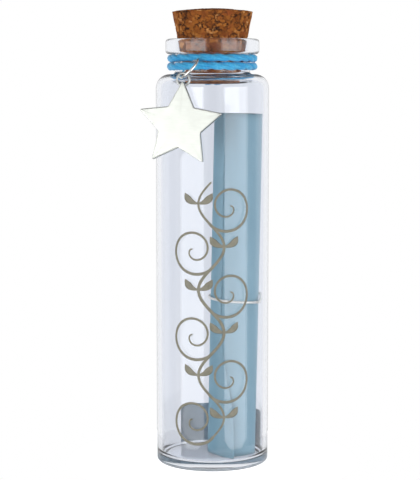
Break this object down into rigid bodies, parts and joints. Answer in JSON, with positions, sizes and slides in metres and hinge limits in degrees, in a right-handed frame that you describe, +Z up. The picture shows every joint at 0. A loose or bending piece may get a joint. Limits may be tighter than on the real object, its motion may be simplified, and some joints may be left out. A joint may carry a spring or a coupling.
{
  "type": "message in a bottle",
  "caption": "Corked clear glass vial with blue twine and a hanging silver star at its neck, and a tied roll of blue paper standing inside.",
  "frame": {"origin": "centre of the base, on the surface that it stands on", "axes": "+Z up along the bottle, -Y towards the side with the star, +X to the right seen from that side"},
  "size_m": [0.0417, 0.0432, 0.1496],
  "materials": {
    "clear_glass": "clear, polished",
    "cork": "agglomerated cork, matt",
    "blue_twine": "twisted paper cord",
    "silver_wire": "bright silver plate",
    "silver_plate": "polished silver plate",
    "blue_paper": "smooth uncoated",
    "label_paper": "matt, blank"
  },
  "bodies": {
    "bottle": {"glass_bottle": "clear_glass", "neck_twine": "blue_twine", "twine_knot": "blue_twine", "back_label": "label_paper"},
    "cork": {"cork_stopper": "cork"},
    "ring": {"jump_ring": "silver_wire"},
    "star": {"star_charm": "silver_plate"},
    "scroll": {"message_scroll": "blue_paper"},
    "tie": {"scroll_tie": "silver_wire"}
  },
  "joints": [
    {"name": "cork_pull", "type": "slide", "parent": "bottle", "child": "cork", "axis": [0, 0, 1], "range_m": [0, 0.03]},
    {"name": "ring_swing", "type": "hinge", "parent": "bottle", "child": "ring", "pos_m": [-0.00677, -0.01432, 0.131], "axis": [-0.9422, 0.335, 0], "range_deg": [0, 60]},
    {"name": "star_swing", "type": "hinge", "parent": "ring", "child": "star", "pos_m": [-0.00957, -0.01758, 0.12712], "axis": [-0.1973, -0.9743, 0.1089], "range_deg": [-30, 30]},
    {"name": "scroll_lift", "type": "slide", "parent": "bottle", "child": "scroll", "axis": [0, 0, 1], "range_m": [0, 0.008]},
    {"name": "tie_slide", "type": "slide", "parent": "scroll", "child": "tie", "axis": [0.0201, 0, 0.9998], "range_m": [-0.008, 0.012]}
  ]
}
